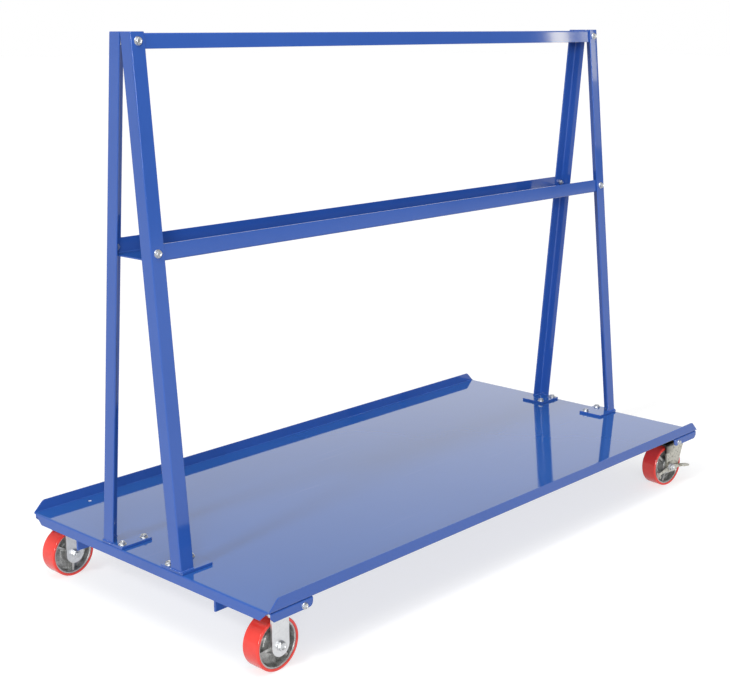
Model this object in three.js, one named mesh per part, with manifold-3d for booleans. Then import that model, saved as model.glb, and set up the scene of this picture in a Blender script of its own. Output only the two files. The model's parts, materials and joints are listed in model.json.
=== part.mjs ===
// Sheet goods cart: a bent sheet deck on four casters, with an A-frame rack along its middle.
// Millimetres, +Z up. The origin is on the floor, under the middle of the deck, and X runs
// along the length. The rigid casters are at -X and the braked swivel casters at +X.

import * as THREE from 'three';
import { mergeVertices } from 'three/addons/utils/BufferGeometryUtils.js';
import Module from 'manifold-3d';

const wasm = await Module();
wasm.setup();

// Clearances
const seat = 0.2; // between two pieces that are stacked or welded together
const boltClearance = 0.4; // all round a bolt in its hole
const runningClearance = 0.3; // between a turning piece and what it turns in
const overrun = 1; // how far a cutting solid runs past a face, or a joined one into its neighbour
const weldDistance = 1e-4; // points closer than this are one point

// Flats round the turned pieces: a wheel stands on one of its flats
const wheelSides = 26;
const raceSides = 20;
const sleeveSides = 12;
const pinSides = 12;
const flangeSides = 10;
const shankSides = 8;

// Straight runs that a drawn curve is made of
const bendRuns = 3;
const cornerRuns = 4;
const arcRuns = 8;

// Deck
const deckLength = 1828.8;
const deckWidth = 914.4;
const deckSheet = 2.7;
const deckBend = 2; // inside radius of its bends
const lipHeight = 28.6; // above the deck's face
const lipEndCut = 28.6; // bevel at the ends of each lip
const lipEndRound = 19; // where the bevel runs into the lip's top
const endFlangeDepth = 26.6; // below the deck's face
const endFlangeCut = 26; // bevel at the ends of each end flange
const cornerRelief = 7; // notch between a lip and an end flange
const hangHole = 12; // holes that the deck hangs from while it is painted
const hangHoleFromEnd = 154;
const hangHoleFromSide = 31;

// Stringers under the deck
const stringerHeight = 53.8;
const stringerFoot = 38;
const stringerWall = 6.35;
const stringerFromSide = 187.5; // from the deck's side to the near face of the upright wall

// Caster pads
const padLength = 133; // along X, from the deck's end
const padWidth = 145; // along Y, from the deck's side
const padThickness = 3;
const padBend = 1;
const tabDepth = 25.4; // below the deck's face
const tabRound = 14;
const tabCut = 9;
const tabBoltFromEnd = 107;
const tabBoltDrop = 17.5; // below the deck's face
const tabBoltHole = 8.5;

// A-frame
const frameInset = 2; // from the deck's end to the legs' outer face
const legWidth = 38.1;
const legWall = 4.8;
const legFillet = 5;
const legHeel = 3; // outside radius
const legHeight = 1242; // above the deck's face
const legSpreadBase = 304.8; // across the heels, at the foot
const legSpreadTop = 78.4; // across the heels, at the top
const basePlateLength = 91;
const basePlateWidth = 82;
const basePlateThickness = 6.35;
const basePlateLap = 5; // plate beyond the heel of its leg
const basePlateBoltEnd = 13; // bolt to the plate's end
const basePlateBoltSide = 16; // bolt to the plate's inner side
const railHeight = 35;
const railDrop = 3.4; // from the legs' top to the rail's top
const railSheet = 3;
const railBend = 4; // outside radius
const shelfHeight = 39;
const shelfUnder = 729; // above the deck's face
const shelfSheet = 3;
const shelfBend = 5; // outside radius

// Bolts of the frame and the base plates
const frameBolt = {
  shank: 9.5, acrossFlats: 14.3, headHeight: 7, flange: 21, flangeHeight: 2.2, nutHeight: 8, tail: 3,
};

// Casters
const casterHeight = 161.9; // floor to the top of the plate
const casterFromEnd = 58;
const casterFromSide = 61.5;
const wheelDiameter = 127;
const wheelWidth = 50.8;
const treadThickness = 7;
const treadRound = 3.5;
const coreWidth = 46;
const rimThickness = 4.5; // at the edge of the core
const rimDish = 1; // slope of the rim's inner face
const webThickness = 8;
const hubDiameter = 50;
const hubLength = 55.6;
const hubDraft = 1; // taper of the hub's outside
const spokeCount = 3;
const spokeTurns = { // degrees up from +X, as the wheels stand
  near_left: 190, far_left: 150, near_right: 135, far_right: 100,
};
const spokeThickness = 7;
const spokeRim = 19; // reach of a spoke from the middle, at the rim
const spokeHub = 22; // reach of a spoke from the middle, at the hub
const spokeRoot = 2; // how far a spoke runs into the hub
const sleeveDiameter = 20;
const sleeveWall = 3.2;
const axleBolt = {
  shank: 12.7, acrossFlats: 19, headHeight: 8, flange: 24, flangeHeight: 2, nutHeight: 10, tail: 3,
};
const plateLength = 101.6;
const plateWidth = 114.3;
const plateThickness = 6.35;
const plateRound = 10;
const plateHole = 11.1;
const plateHoleSpanX = 76;
const plateHoleSpanY = 92;
const forkSheet = 6;
const forkBend = 9; // outside radius of the crown
const crownThickness = 6;
const rigidLegWidth = 52;

// Swivel head and brake
const trail = 38; // axle behind the kingpin
const nearSwivelTurn = -8; // degrees, as the near caster stands
const farSwivelTurn = 0;
const swivelCrownFront = 28; // kingpin to the crown's front edge
const swivelCrownBack = 57; // kingpin to the crown's back edge
const swivelFootFront = -4; // kingpin to the front edge of the fork's feet
const swivelFootBack = 51.5; // kingpin to the back edge of the fork's feet
const swivelFootUnder = 45; // floor to the fork's feet
const swivelFootRound = 12;
const raceDiameter = 56;
const raceHeight = 9.4; // deep enough for the turning crown to pass under the deck's end flange
const raceLip = 4; // slope at the races' outer edge
const kingpinDiameter = 16;
const kingpinNut = 22;
const kingpinNutHeight = 6;
const leverSheet = 4;
const leverBoss = 30;
const leverArmWidth = 15;
const leverArmTip = 7; // width of the arms at their ends
const pedalReach = 78; // axle to the pedal's tip
const pedalAngle = 6; // degrees below level
const pedalLength = 36;
const pedalOut = 20; // how far the pedal stands off the lever
const pedalRound = 9;
const tailReach = 62; // axle to the tip of the release arm
const tailAngle = 16; // degrees below level
const tailOut = 10; // how far the release tab stands off the lever
const tailTab = 22; // height of the release tab
const tailRound = 1;

// Levels and places worked out from the sizes above
const padUnder = casterHeight + seat;
const deckUnder = padUnder + padThickness + seat;
const deckTop = deckUnder + deckSheet;
const plateTop = deckTop + seat + basePlateThickness;
const legTop = deckTop + legHeight;
const lean = Math.atan((legSpreadBase - legSpreadTop) / 2 / (legTop - plateTop));
const frameEnd = deckLength / 2 - frameInset;
const wheelRadius = wheelDiameter / 2;
const coreRadius = wheelRadius - treadThickness;
const forkInside = hubLength / 2 + runningClearance;
const forkOutside = forkInside + forkSheet;
const deg = THREE.MathUtils.degToRad;
const ordered = (a, b) => (a < b ? [a, b] : [b, a]);

// Half of the heels' spread at a level, and half of the room between the legs' inner faces there
const heelAt = (z) => legSpreadTop / 2 + (legTop - z) * Math.tan(lean);
const insideLegsAt = (z) => heelAt(z) - (legWall + seat) / Math.cos(lean);

// Materials
const paint = new THREE.MeshStandardMaterial({ color: 0x3d5da8, roughness: 0.2, metalness: 0 });
const zinc = new THREE.MeshStandardMaterial({ color: 0xc9cccf, roughness: 0.35, metalness: 0.9 });
const castMetal = new THREE.MeshStandardMaterial({ color: 0x8a8c8c, roughness: 0.55, metalness: 0.7 });
const redTread = new THREE.MeshStandardMaterial({ color: 0xd8382f, roughness: 0.45, metalness: 0 });

// Solids: from a closed geometry and back again
function solid(geometry) {
  const bare = geometry.clone();
  bare.deleteAttribute('normal');
  bare.deleteAttribute('uv');
  const merged = mergeVertices(bare, weldDistance);
  const vertProperties = new Float32Array(merged.attributes.position.array);
  const triVerts = new Uint32Array(merged.index.array);
  return new wasm.Manifold(new wasm.Mesh({ numProp: 3, vertProperties, triVerts }));
}

function geometryOf(body) {
  const mesh = body.getMesh();
  const geometry = new THREE.BufferGeometry();
  geometry.setAttribute('position', new THREE.BufferAttribute(new Float32Array(mesh.vertProperties), 3));
  geometry.setIndex(new THREE.BufferAttribute(new Uint32Array(mesh.triVerts), 1));
  const flat = geometry.toNonIndexed();
  flat.computeVertexNormals();
  return flat;
}

const join = (first, ...others) => geometryOf(others.reduce((sum, g) => sum.add(solid(g)), solid(first)));
const cut = (first, ...tools) => geometryOf(tools.reduce((rest, g) => rest.subtract(solid(g)), solid(first)));
const common = (a, b) => geometryOf(solid(a).intersect(solid(b)));

// An outline through corners [x, y, radius]
function outline(corners) {
  const shape = new THREE.Shape();
  corners.forEach(([x, y, radius = 0], i) => {
    const corner = new THREE.Vector2(x, y);
    const [px, py] = corners.at(i - 1);
    const [nx, ny] = corners[(i + 1) % corners.length];
    const back = new THREE.Vector2(px, py).sub(corner).normalize();
    const ahead = new THREE.Vector2(nx, ny).sub(corner).normalize();
    const half = Math.acos(THREE.MathUtils.clamp(back.dot(ahead), -1, 1)) / 2;
    const reach = radius / Math.tan(half);
    const start = corner.clone().addScaledVector(back, reach);
    const end = corner.clone().addScaledVector(ahead, reach);
    if (i === 0) shape.moveTo(start.x, start.y);
    else shape.lineTo(start.x, start.y);
    if (radius > 0) shape.quadraticCurveTo(x, y, end.x, end.y);
  });
  shape.closePath();
  return shape;
}

const rectangle = (x0, x1, y0, y1, radius = 0) =>
  outline([[x0, y0, radius], [x1, y0, radius], [x1, y1, radius], [x0, y1, radius]]);

function roundHole(shape, x, y, diameter) {
  shape.holes.push(new THREE.Path().absarc(x, y, diameter / 2, 0, 2 * Math.PI));
}

// Extrusions: a (y, z) outline from x0 to x1, an (x, z) outline from y0 to y1, an (x, y) one in z
function extrude(shape, depth, curveSegments) {
  return new THREE.ExtrudeGeometry(shape, { depth, curveSegments, bevelEnabled: false });
}

function alongX(shape, x0, x1, curveSegments = bendRuns) {
  const axes = [new THREE.Vector3(0, 1, 0), new THREE.Vector3(0, 0, 1), new THREE.Vector3(1, 0, 0)];
  const geometry = extrude(shape, x1 - x0, curveSegments);
  return geometry.applyMatrix4(new THREE.Matrix4().makeBasis(...axes)).translate(x0, 0, 0);
}

function alongY(shape, y0, y1, curveSegments = bendRuns) {
  const axes = [new THREE.Vector3(1, 0, 0), new THREE.Vector3(0, 0, 1), new THREE.Vector3(0, -1, 0)];
  const geometry = extrude(shape, y1 - y0, curveSegments);
  return geometry.applyMatrix4(new THREE.Matrix4().makeBasis(...axes)).translate(0, y1, 0);
}

const alongZ = (shape, z0, z1, curveSegments = bendRuns) =>
  extrude(shape, z1 - z0, curveSegments).translate(0, 0, z0);

// A ring about the Y axis from a closed profile of [radius, y]
function ring(profile, sides) {
  const turned = [...profile, profile[0]];
  const area = turned.slice(1).reduce(
    (sum, [r, y], i) => sum + turned[i][0] * y - r * turned[i][1], 0);
  if (area < 0) turned.reverse();
  const toFlats = 1 / Math.cos(Math.PI / sides);
  const points = turned.map(([r, y]) => new THREE.Vector2(r * toFlats, y));
  return new THREE.LatheGeometry(points, sides, Math.PI / sides);
}

const rod = (diameter, y0, y1, sides) =>
  new THREE.CylinderGeometry(diameter / 2, diameter / 2, y1 - y0, sides).translate(0, (y0 + y1) / 2, 0);
const bore = (acrossFlats, y0, y1, sides) => rod(acrossFlats / Math.cos(Math.PI / sides), y0, y1, sides);
const hexagon = (acrossFlats, y0, y1) => bore(acrossFlats, y0, y1, 6);
const upright = (geometry) => geometry.rotateX(Math.PI / 2);

// A bolt along +Y, its head's seat at y = 0, holding a stack of the given grip with a nut
function bolt(size, grip) {
  const nutSeat = grip + seat;
  const tip = nutSeat + size.nutHeight + size.tail;
  return join(
    rod(size.flange, -size.flangeHeight, 0, flangeSides),
    hexagon(size.acrossFlats, -size.headHeight, -size.flangeHeight / 2),
    rod(size.shank, -size.flangeHeight / 2, tip, shankSides),
    hexagon(size.acrossFlats, nutSeat, nutSeat + size.nutHeight),
  );
}

const boltHole = (size, reach) => bore(size.shank + 2 * boltClearance, -reach, reach, shankSides);

// The cart
const cart = new THREE.Group();

function piece(name, geometry, material, parent = cart) {
  const mesh = new THREE.Mesh(geometry, material);
  mesh.name = name;
  parent.add(mesh);
  return mesh;
}

const ends = [['left', -1], ['right', 1]];
const sides = [['near', -1], ['far', 1]];
const corners = ends.flatMap(([end, sx]) => sides.map(([side, sy]) => ({ at: `${side}_${end}`, sx, sy })));

// Base plate bolts, which the deck and the plates are drilled for
const basePlateInner = (sy) => sy * (legSpreadBase / 2 + basePlateLap - basePlateWidth);
const baseBolts = corners.flatMap(({ at, sx, sy }) =>
  [['outer', basePlateBoltEnd], ['inner', basePlateLength - basePlateBoltEnd]].map(([where, fromEnd]) => ({
    name: `base_bolt_${at}_${where}`,
    x: sx * (frameEnd - fromEnd),
    y: basePlateInner(sy) + sy * basePlateBoltSide,
  })));
const baseBoltHoles = () => baseBolts.map(({ x, y }) =>
  upright(boltHole(frameBolt, plateTop)).translate(x, y, 0));

// Deck: side lips turned up, end flanges turned down
function deck() {
  const bend = deckBend + deckSheet;
  const splice = 2 * bend; // where an end flange's section takes over from the tray's
  const side = deckWidth / 2;
  const lipTop = deckTop + lipHeight;
  const tray = outline([
    [-side, lipTop], [-side, deckUnder, bend], [side, deckUnder, bend], [side, lipTop],
    [side - deckSheet, lipTop], [side - deckSheet, deckTop, deckBend],
    [deckSheet - side, deckTop, deckBend], [deckSheet - side, lipTop],
  ]);
  const end = deckLength / 2;
  const flangeEnd = side - cornerRelief;
  const flangeFoot = deckTop - endFlangeDepth;
  const endCuts = [-1, 1].map((sx) => {
    const span = ordered(sx * (end - splice), sx * (end + overrun));
    return alongZ(rectangle(...span, -flangeEnd, flangeEnd), deckUnder - overrun, deckTop + overrun);
  });
  const lipCuts = [-1, 1].map((sx) => alongY(outline([
    [sx * (end + overrun), deckTop], [sx * end, deckTop], [sx * (end - lipEndCut), lipTop, lipEndRound],
    [sx * (end - lipEndCut - lipEndRound), lipTop + overrun], [sx * (end + overrun), lipTop + overrun],
  ]), -side - overrun, side + overrun, cornerRuns));
  const endFlanges = [-1, 1].map((sx) => {
    const section = outline([
      [sx * (end - splice - overrun), deckTop], [sx * end, deckTop, bend], [sx * end, flangeFoot],
      [sx * (end - deckSheet), flangeFoot], [sx * (end - deckSheet), deckUnder, deckBend],
      [sx * (end - splice - overrun), deckUnder],
    ]);
    const face = outline([
      [-flangeEnd, deckTop + overrun], [-flangeEnd, deckUnder], [endFlangeCut - flangeEnd, flangeFoot],
      [flangeEnd - endFlangeCut, flangeFoot], [flangeEnd, deckUnder], [flangeEnd, deckTop + overrun],
    ]);
    return common(alongY(section, -side, side), alongX(face, -end - overrun, end + overrun));
  });
  const sheet = cut(alongX(tray, -end, end), ...endCuts, ...lipCuts);
  const hangHoles = [-1, 1].map((sy) => upright(bore(hangHole, 0, 2 * deckTop, shankSides))
    .translate(hangHoleFromEnd - end, sy * (side - hangHoleFromSide), 0));
  return cut(join(sheet, ...endFlanges), ...baseBoltHoles(), ...hangHoles);
}
piece('deck', deck(), paint);

// Stringers: angles on edge, both turned the same way
for (const [side, sy] of sides) {
  const wall = sy * (deckWidth / 2 - stringerFromSide);
  const top = deckUnder - seat;
  const section = outline([
    [wall, top], [wall, top - stringerHeight], [wall + stringerWall, top - stringerHeight],
    [wall + stringerWall, top - stringerWall, stringerWall],
    [wall + stringerFoot, top - stringerWall], [wall + stringerFoot, top],
  ]);
  const reach = deckLength / 2 - deckSheet - deckBend;
  piece(`stringer_${side}`, alongX(section, -reach, reach), paint);
}

// Caster pads: a plate under the deck's corner with a tab turned down at the side
function casterPad(sx, sy) {
  const side = sy * deckWidth / 2;
  const end = sx * (deckLength / 2 - deckSheet - deckBend);
  const inner = sx * (deckLength / 2 - padLength);
  const tabFoot = deckTop - tabDepth;
  const padTop = deckUnder - seat;
  const bendOutside = padBend + padThickness;
  const section = outline([
    [side, tabFoot], [side, padTop, bendOutside], [side - sy * padWidth, padTop],
    [side - sy * padWidth, padUnder], [side - sy * padThickness, padUnder, padBend],
    [side - sy * padThickness, tabFoot],
  ]);
  const face = outline([
    [end, padTop + overrun], [end, tabFoot + tabCut], [end - sx * tabCut, tabFoot],
    [inner, tabFoot, tabRound], [inner, padTop + overrun],
  ]);
  const across = ordered(side + sy * overrun, side - sy * (padWidth + overrun));
  const pad = common(alongX(section, ...ordered(end, inner)), alongY(face, ...across, cornerRuns));
  const holeAt = sx * (deckLength / 2 - tabBoltFromEnd);
  const tabHole = bore(tabBoltHole, -2 * padThickness, 2 * padThickness, shankSides)
    .translate(holeAt, side, deckTop - tabBoltDrop);
  return cut(pad, tabHole);
}
for (const { at, sx, sy } of corners) piece(`caster_pad_${at}`, casterPad(sx, sy), paint);

// Base plates and their bolts
function basePlate(sx, sy) {
  const xs = ordered(sx * frameEnd, sx * (frameEnd - basePlateLength));
  const ys = ordered(basePlateInner(sy), basePlateInner(sy) + sy * basePlateWidth);
  const plate = alongZ(rectangle(...xs, ...ys), deckTop + seat, plateTop);
  return cut(plate, ...baseBoltHoles());
}
for (const { at, sx, sy } of corners) piece(`base_plate_${at}`, basePlate(sx, sy), paint);
for (const { name, x, y } of baseBolts) {
  const grip = basePlateThickness + deckSheet + 2 * seat;
  const mesh = piece(name, bolt(frameBolt, grip), zinc);
  mesh.position.set(x, y, plateTop + seat);
  mesh.rotation.x = -Math.PI / 2;
}

// Bolts that hold the rail and the shelf to the legs, square to the leaning flanges
const railMiddle = legTop - railDrop - railHeight / 2;
const shelfMiddle = deckTop + shelfUnder + shelfHeight / 2;
const frameBolts = corners.flatMap(({ at, sx, sy }) =>
  [['rail', railMiddle, railSheet], ['shelf', shelfMiddle, shelfSheet]].map(([member, level, sheet]) => ({
    name: `${member}_bolt_${at}`,
    grip: legWall + sheet + 2 * seat,
    place: new THREE.Matrix4()
      .makeTranslation(sx * (frameEnd - legWidth / 2), sy * heelAt(level), level)
      .multiply(new THREE.Matrix4().makeRotationZ(sy < 0 ? 0 : Math.PI))
      .multiply(new THREE.Matrix4().makeRotationX(-lean)),
  })));
const frameBoltHoles = () => frameBolts.map(({ place }) =>
  boltHole(frameBolt, legWidth / 2).applyMatrix4(place));

// Legs: leaning angles with level ends, heels to the outside
function leg(sx, sy) {
  const length = (legTop - plateTop) / Math.cos(lean) + 2 * legWidth;
  const section = outline([
    [0, 0, legHeel], [-sx * legWidth, 0], [-sx * legWidth, -sy * legWall],
    [-sx * legWall, -sy * legWall, legFillet], [-sx * legWall, -sy * legWidth], [0, -sy * legWidth],
  ]);
  const bar = alongZ(section, -legWidth, length - legWidth).rotateX(sy * lean)
    .translate(sx * frameEnd, sy * legSpreadBase / 2, plateTop);
  const level = alongZ(rectangle(-deckLength, deckLength, -deckWidth, deckWidth), plateTop + seat, legTop);
  return cut(common(bar, level), ...frameBoltHoles());
}
for (const { at, sx, sy } of corners) piece(`leg_${at}`, leg(sx, sy), paint);

// Rail and shelf: channels whose flanges lean with the legs
function channel(webLevel, toeLevel, sheet, bend) {
  const web = webLevel + Math.sign(toeLevel - webLevel) * sheet;
  const skin = sheet / Math.cos(lean);
  const section = outline([
    [-insideLegsAt(toeLevel), toeLevel], [-insideLegsAt(webLevel), webLevel, bend],
    [insideLegsAt(webLevel), webLevel, bend], [insideLegsAt(toeLevel), toeLevel],
    [insideLegsAt(toeLevel) - skin, toeLevel], [insideLegsAt(web) - skin, web, bend - sheet],
    [skin - insideLegsAt(web), web, bend - sheet], [skin - insideLegsAt(toeLevel), toeLevel],
  ]);
  const reach = frameEnd - legWall - legFillet;
  return cut(alongX(section, -reach, reach), ...frameBoltHoles());
}
const railTop = legTop - railDrop;
const shelfBottom = deckTop + shelfUnder;
piece('top_rail', channel(railTop, railTop - railHeight, railSheet, railBend), paint);
piece('mid_shelf', channel(shelfBottom, shelfBottom + shelfHeight, shelfSheet, shelfBend), paint);
for (const { name, grip, place } of frameBolts) {
  const geometry = bolt(frameBolt, grip).translate(0, -seat, 0);
  piece(name, geometry, zinc).applyMatrix4(place);
}

// Wheel: a dished and spoked core with a bonded tread, about its own axle
function wheelCore(turn) {
  const rim = coreWidth / 2;
  const web = webThickness / 2;
  const hub = hubLength / 2;
  const hubRadius = hubDiameter / 2;
  const rimInside = coreRadius - rimThickness;
  const boreRadius = sleeveDiameter / 2 / Math.cos(Math.PI / sleeveSides) + runningClearance;
  const body = ring([
    [boreRadius, -hub], [hubRadius - hubDraft, -hub], [hubRadius, -web], [rimInside - rimDish, -web],
    [rimInside, -rim], [coreRadius, -rim], [coreRadius, rim], [rimInside, rim],
    [rimInside - rimDish, web], [hubRadius, web], [hubRadius - hubDraft, hub], [boreRadius, hub],
  ], wheelSides);
  const rib = outline([
    [hubRadius - spokeRoot, -spokeHub], [rimInside - rimDish / 2, -spokeRim],
    [rimInside - rimDish / 2, spokeRim], [hubRadius - spokeRoot, spokeHub],
  ]);
  const spokes = Array.from({ length: spokeCount }, (_, i) =>
    extrude(rib, spokeThickness).translate(0, 0, -spokeThickness / 2)
      .rotateY(i * 2 * Math.PI / spokeCount - deg(turn)));
  return join(body, ...spokes);
}

function wheelTread() {
  const half = wheelWidth / 2;
  const inside = coreRadius + runningClearance;
  const shoulder = (angle, sy) => [
    wheelRadius - treadRound * (1 - Math.cos(angle)), sy * (half - treadRound * (1 - Math.sin(angle)))];
  const steps = [0, Math.PI / 4, Math.PI / 2];
  return ring([
    [inside, -half], ...steps.toReversed().map((a) => shoulder(a, -1)),
    ...steps.map((a) => shoulder(a, 1)), [inside, half],
  ], wheelSides);
}

function axleSleeve() {
  const outside = sleeveDiameter / 2;
  const inside = outside - sleeveWall;
  const half = hubLength / 2;
  return ring([[inside, -half], [outside, -half], [outside, half], [inside, half]], sleeveSides);
}

// What turns or sits on an axle: core, tread, sleeve, and the bolt through them
function wheelSet(at, parent, boltGrip, boltSide) {
  piece(`wheel_core_${at}`, wheelCore(spokeTurns[at]), castMetal, parent);
  piece(`wheel_tread_${at}`, wheelTread(), redTread, parent);
  piece(`axle_sleeve_${at}`, axleSleeve(), zinc, parent);
  const axle = piece(`axle_bolt_${at}`, bolt(axleBolt, boltGrip), zinc, parent);
  axle.rotation.z = boltSide < 0 ? 0 : Math.PI;
  axle.position.y = boltSide * (boltGrip - forkOutside);
}

// Caster plate with its four bolt holes
function casterPlate() {
  const shape = rectangle(-plateLength / 2, plateLength / 2, -plateWidth / 2, plateWidth / 2, plateRound);
  for (const sx of [-1, 1]) {
    for (const sy of [-1, 1]) roundHole(shape, sx * plateHoleSpanX / 2, sy * plateHoleSpanY / 2, plateHole);
  }
  return shape;
}

// A strap bent to a U over the wheel, cut to the outline of the fork's side
function fork(crownTop, side, x0, x1) {
  const foot = wheelRadius - rigidLegWidth / 2 - overrun;
  const insideBend = forkBend - forkSheet;
  const strap = outline([
    [-forkOutside, foot], [-forkOutside, crownTop, forkBend], [forkOutside, crownTop, forkBend],
    [forkOutside, foot], [forkInside, foot], [forkInside, crownTop - crownThickness, insideBend],
    [-forkInside, crownTop - crownThickness, insideBend], [-forkInside, foot],
  ]);
  const through = forkOutside + overrun;
  return common(alongX(strap, x0, x1), alongY(side, -through, through, arcRuns));
}

// Sides of the two forks: a straight strap with a round end, and a leg that narrows to its foot
function rigidSide(top) {
  const half = rigidLegWidth / 2;
  const shape = new THREE.Shape();
  shape.moveTo(half, top);
  shape.lineTo(-half, top);
  shape.absarc(0, wheelRadius, half, Math.PI, 2 * Math.PI);
  shape.closePath();
  return shape;
}

const swivelSide = (top) => outline([
  [swivelCrownFront, top], [-swivelCrownBack, top],
  [-swivelFootBack, swivelFootUnder, swivelFootRound], [swivelFootFront, swivelFootUnder, swivelFootRound],
]);

const axleHole = () => boltHole(axleBolt, 2 * forkOutside);

// Rigid caster: the fork is welded under the plate
function rigidFork() {
  const top = casterHeight - plateThickness;
  const plate = alongZ(casterPlate(), top, casterHeight);
  const half = rigidLegWidth / 2;
  const crown = top + overrun;
  const legs = fork(crown, rigidSide(crown), -half, half);
  return cut(join(plate, legs), axleHole().translate(0, 0, wheelRadius));
}

function rigidCaster(at, sx, sy) {
  const group = new THREE.Group();
  group.position.set(sx * (deckLength / 2 - casterFromEnd), sy * (deckWidth / 2 - casterFromSide), 0);
  cart.add(group);
  piece(`caster_fork_${at}`, rigidFork(), zinc, group);
  const axle = new THREE.Group();
  axle.position.z = wheelRadius;
  group.add(axle);
  wheelSet(at, axle, 2 * forkOutside + 2 * seat, sy);
}

// Swivel head, from the plate down: upper race, lower race on the fork's crown, kingpin nut
const upperRaceTop = casterHeight - plateThickness;
const upperRaceFoot = upperRaceTop - raceHeight;
const lowerRaceTop = upperRaceFoot - runningClearance;
const crownTop = lowerRaceTop - raceHeight;
const crownUnder = crownTop - crownThickness;
const kingpinHole = kingpinDiameter + 2 * runningClearance;
const pinHole = () => upright(bore(kingpinHole, 0, 2 * casterHeight, pinSides));

function race(z0, z1, topRadius, footRadius) {
  const inside = kingpinHole / 2;
  return upright(ring([[inside, z0], [footRadius, z0], [topRadius, z1], [inside, z1]], raceSides));
}

function swivelPlate() {
  const shape = casterPlate();
  const radius = raceDiameter / 2;
  const upper = race(upperRaceFoot, upperRaceTop + overrun, radius, radius - raceLip);
  return cut(join(alongZ(shape, upperRaceTop, casterHeight), upper), pinHole());
}

function swivelFork() {
  const legs = fork(crownTop, swivelSide(crownTop + overrun), -2 * plateLength, 2 * plateLength);
  const radius = raceDiameter / 2;
  const lower = race(crownTop - overrun, lowerRaceTop, radius - raceLip, radius);
  return cut(join(legs, lower), pinHole(), axleHole().translate(-trail, 0, wheelRadius));
}

function kingpin() {
  const nutTop = crownUnder - runningClearance;
  return join(
    upright(rod(kingpinDiameter, nutTop - kingpinNutHeight, casterHeight, pinSides)),
    upright(hexagon(kingpinNut, nutTop - kingpinNutHeight, nutTop)),
  );
}

// Brake lever: a rocker on the axle with a pedal at one end and a release tab at the other
function brakeLever(out) {
  const half = leverArmWidth / 2;
  const tip = leverArmTip / 2;
  const y = ordered(0, out * leverSheet);
  const boss = new THREE.Shape().absarc(0, 0, leverBoss / 2, 0, 2 * Math.PI);
  const arm = (reach) => alongY(outline([[0, -half], [reach, -tip], [reach, tip], [0, half]]), ...y);
  const pedal = outline([
    [pedalReach - pedalLength, 0], [pedalReach, 0], [pedalReach, out * pedalOut, pedalRound],
    [pedalReach - pedalLength, out * pedalOut, pedalRound],
  ]);
  const plate = alongZ(pedal, tip - leverSheet, tip, cornerRuns);
  const front = join(arm(pedalReach), plate).rotateY(deg(pedalAngle));
  const tab = rectangle(-tailReach, leverSheet - tailReach, -tailTab / 2, tailTab / 2, tailRound);
  const tail = join(arm(-tailReach), alongY(tab, ...ordered(0, out * tailOut))).rotateY(-deg(tailAngle));
  return cut(join(alongY(boss, ...y, arcRuns), front, tail), boltHole(axleBolt, 2 * pedalOut));
}

function swivelCaster(at, sx, sy, turn) {
  const group = new THREE.Group();
  group.position.set(sx * (deckLength / 2 - casterFromEnd), sy * (deckWidth / 2 - casterFromSide), 0);
  cart.add(group);
  piece(`swivel_plate_${at}`, swivelPlate(), zinc, group);
  piece(`kingpin_${at}`, kingpin(), zinc, group);
  const swivel = new THREE.Group();
  swivel.rotation.z = deg(turn);
  group.add(swivel);
  piece(`swivel_fork_${at}`, swivelFork(), zinc, swivel);
  const axle = new THREE.Group();
  axle.position.set(-trail, 0, wheelRadius);
  swivel.add(axle);
  wheelSet(at, axle, 2 * forkOutside + leverSheet + 2 * runningClearance + 2 * seat, sy);
  const lever = piece(`brake_lever_${at}`, brakeLever(sy), zinc, axle);
  lever.position.y = sy * (forkOutside + runningClearance);
}

rigidCaster('near_left', -1, -1);
rigidCaster('far_left', -1, 1);
swivelCaster('near_right', 1, -1, nearSwivelTurn);
swivelCaster('far_right', 1, 1, farSwivelTurn);

export default cart;
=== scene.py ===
"""Sheet goods cart: paint, plating, wheels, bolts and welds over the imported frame. Metres, +Z up."""

import json
import math

import bmesh
import bpy
from mathutils import Matrix, Vector


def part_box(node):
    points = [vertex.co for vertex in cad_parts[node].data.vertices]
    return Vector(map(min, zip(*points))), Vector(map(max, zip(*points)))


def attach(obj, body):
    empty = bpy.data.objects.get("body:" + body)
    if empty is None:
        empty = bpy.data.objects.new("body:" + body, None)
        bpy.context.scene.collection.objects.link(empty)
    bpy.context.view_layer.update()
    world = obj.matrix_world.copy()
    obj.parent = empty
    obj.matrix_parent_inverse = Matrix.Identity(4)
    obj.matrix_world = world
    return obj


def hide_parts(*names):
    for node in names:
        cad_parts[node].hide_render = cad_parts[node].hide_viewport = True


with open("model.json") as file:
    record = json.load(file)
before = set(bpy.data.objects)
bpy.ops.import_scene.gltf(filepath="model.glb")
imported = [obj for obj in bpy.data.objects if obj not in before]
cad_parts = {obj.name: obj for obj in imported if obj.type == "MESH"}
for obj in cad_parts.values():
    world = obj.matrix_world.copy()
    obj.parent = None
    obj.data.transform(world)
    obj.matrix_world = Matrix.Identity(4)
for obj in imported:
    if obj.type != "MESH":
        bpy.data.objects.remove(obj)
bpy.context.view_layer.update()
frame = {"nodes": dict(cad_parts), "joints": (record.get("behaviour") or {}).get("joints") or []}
nodes = frame["nodes"]
joints = {joint["child"]: joint for joint in frame["joints"]}

RIGID = ("near_left", "far_left")
SWIVEL = ("near_right", "far_right")
CORNERS = RIGID + SWIVEL
CART = "cart_frame"

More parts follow.
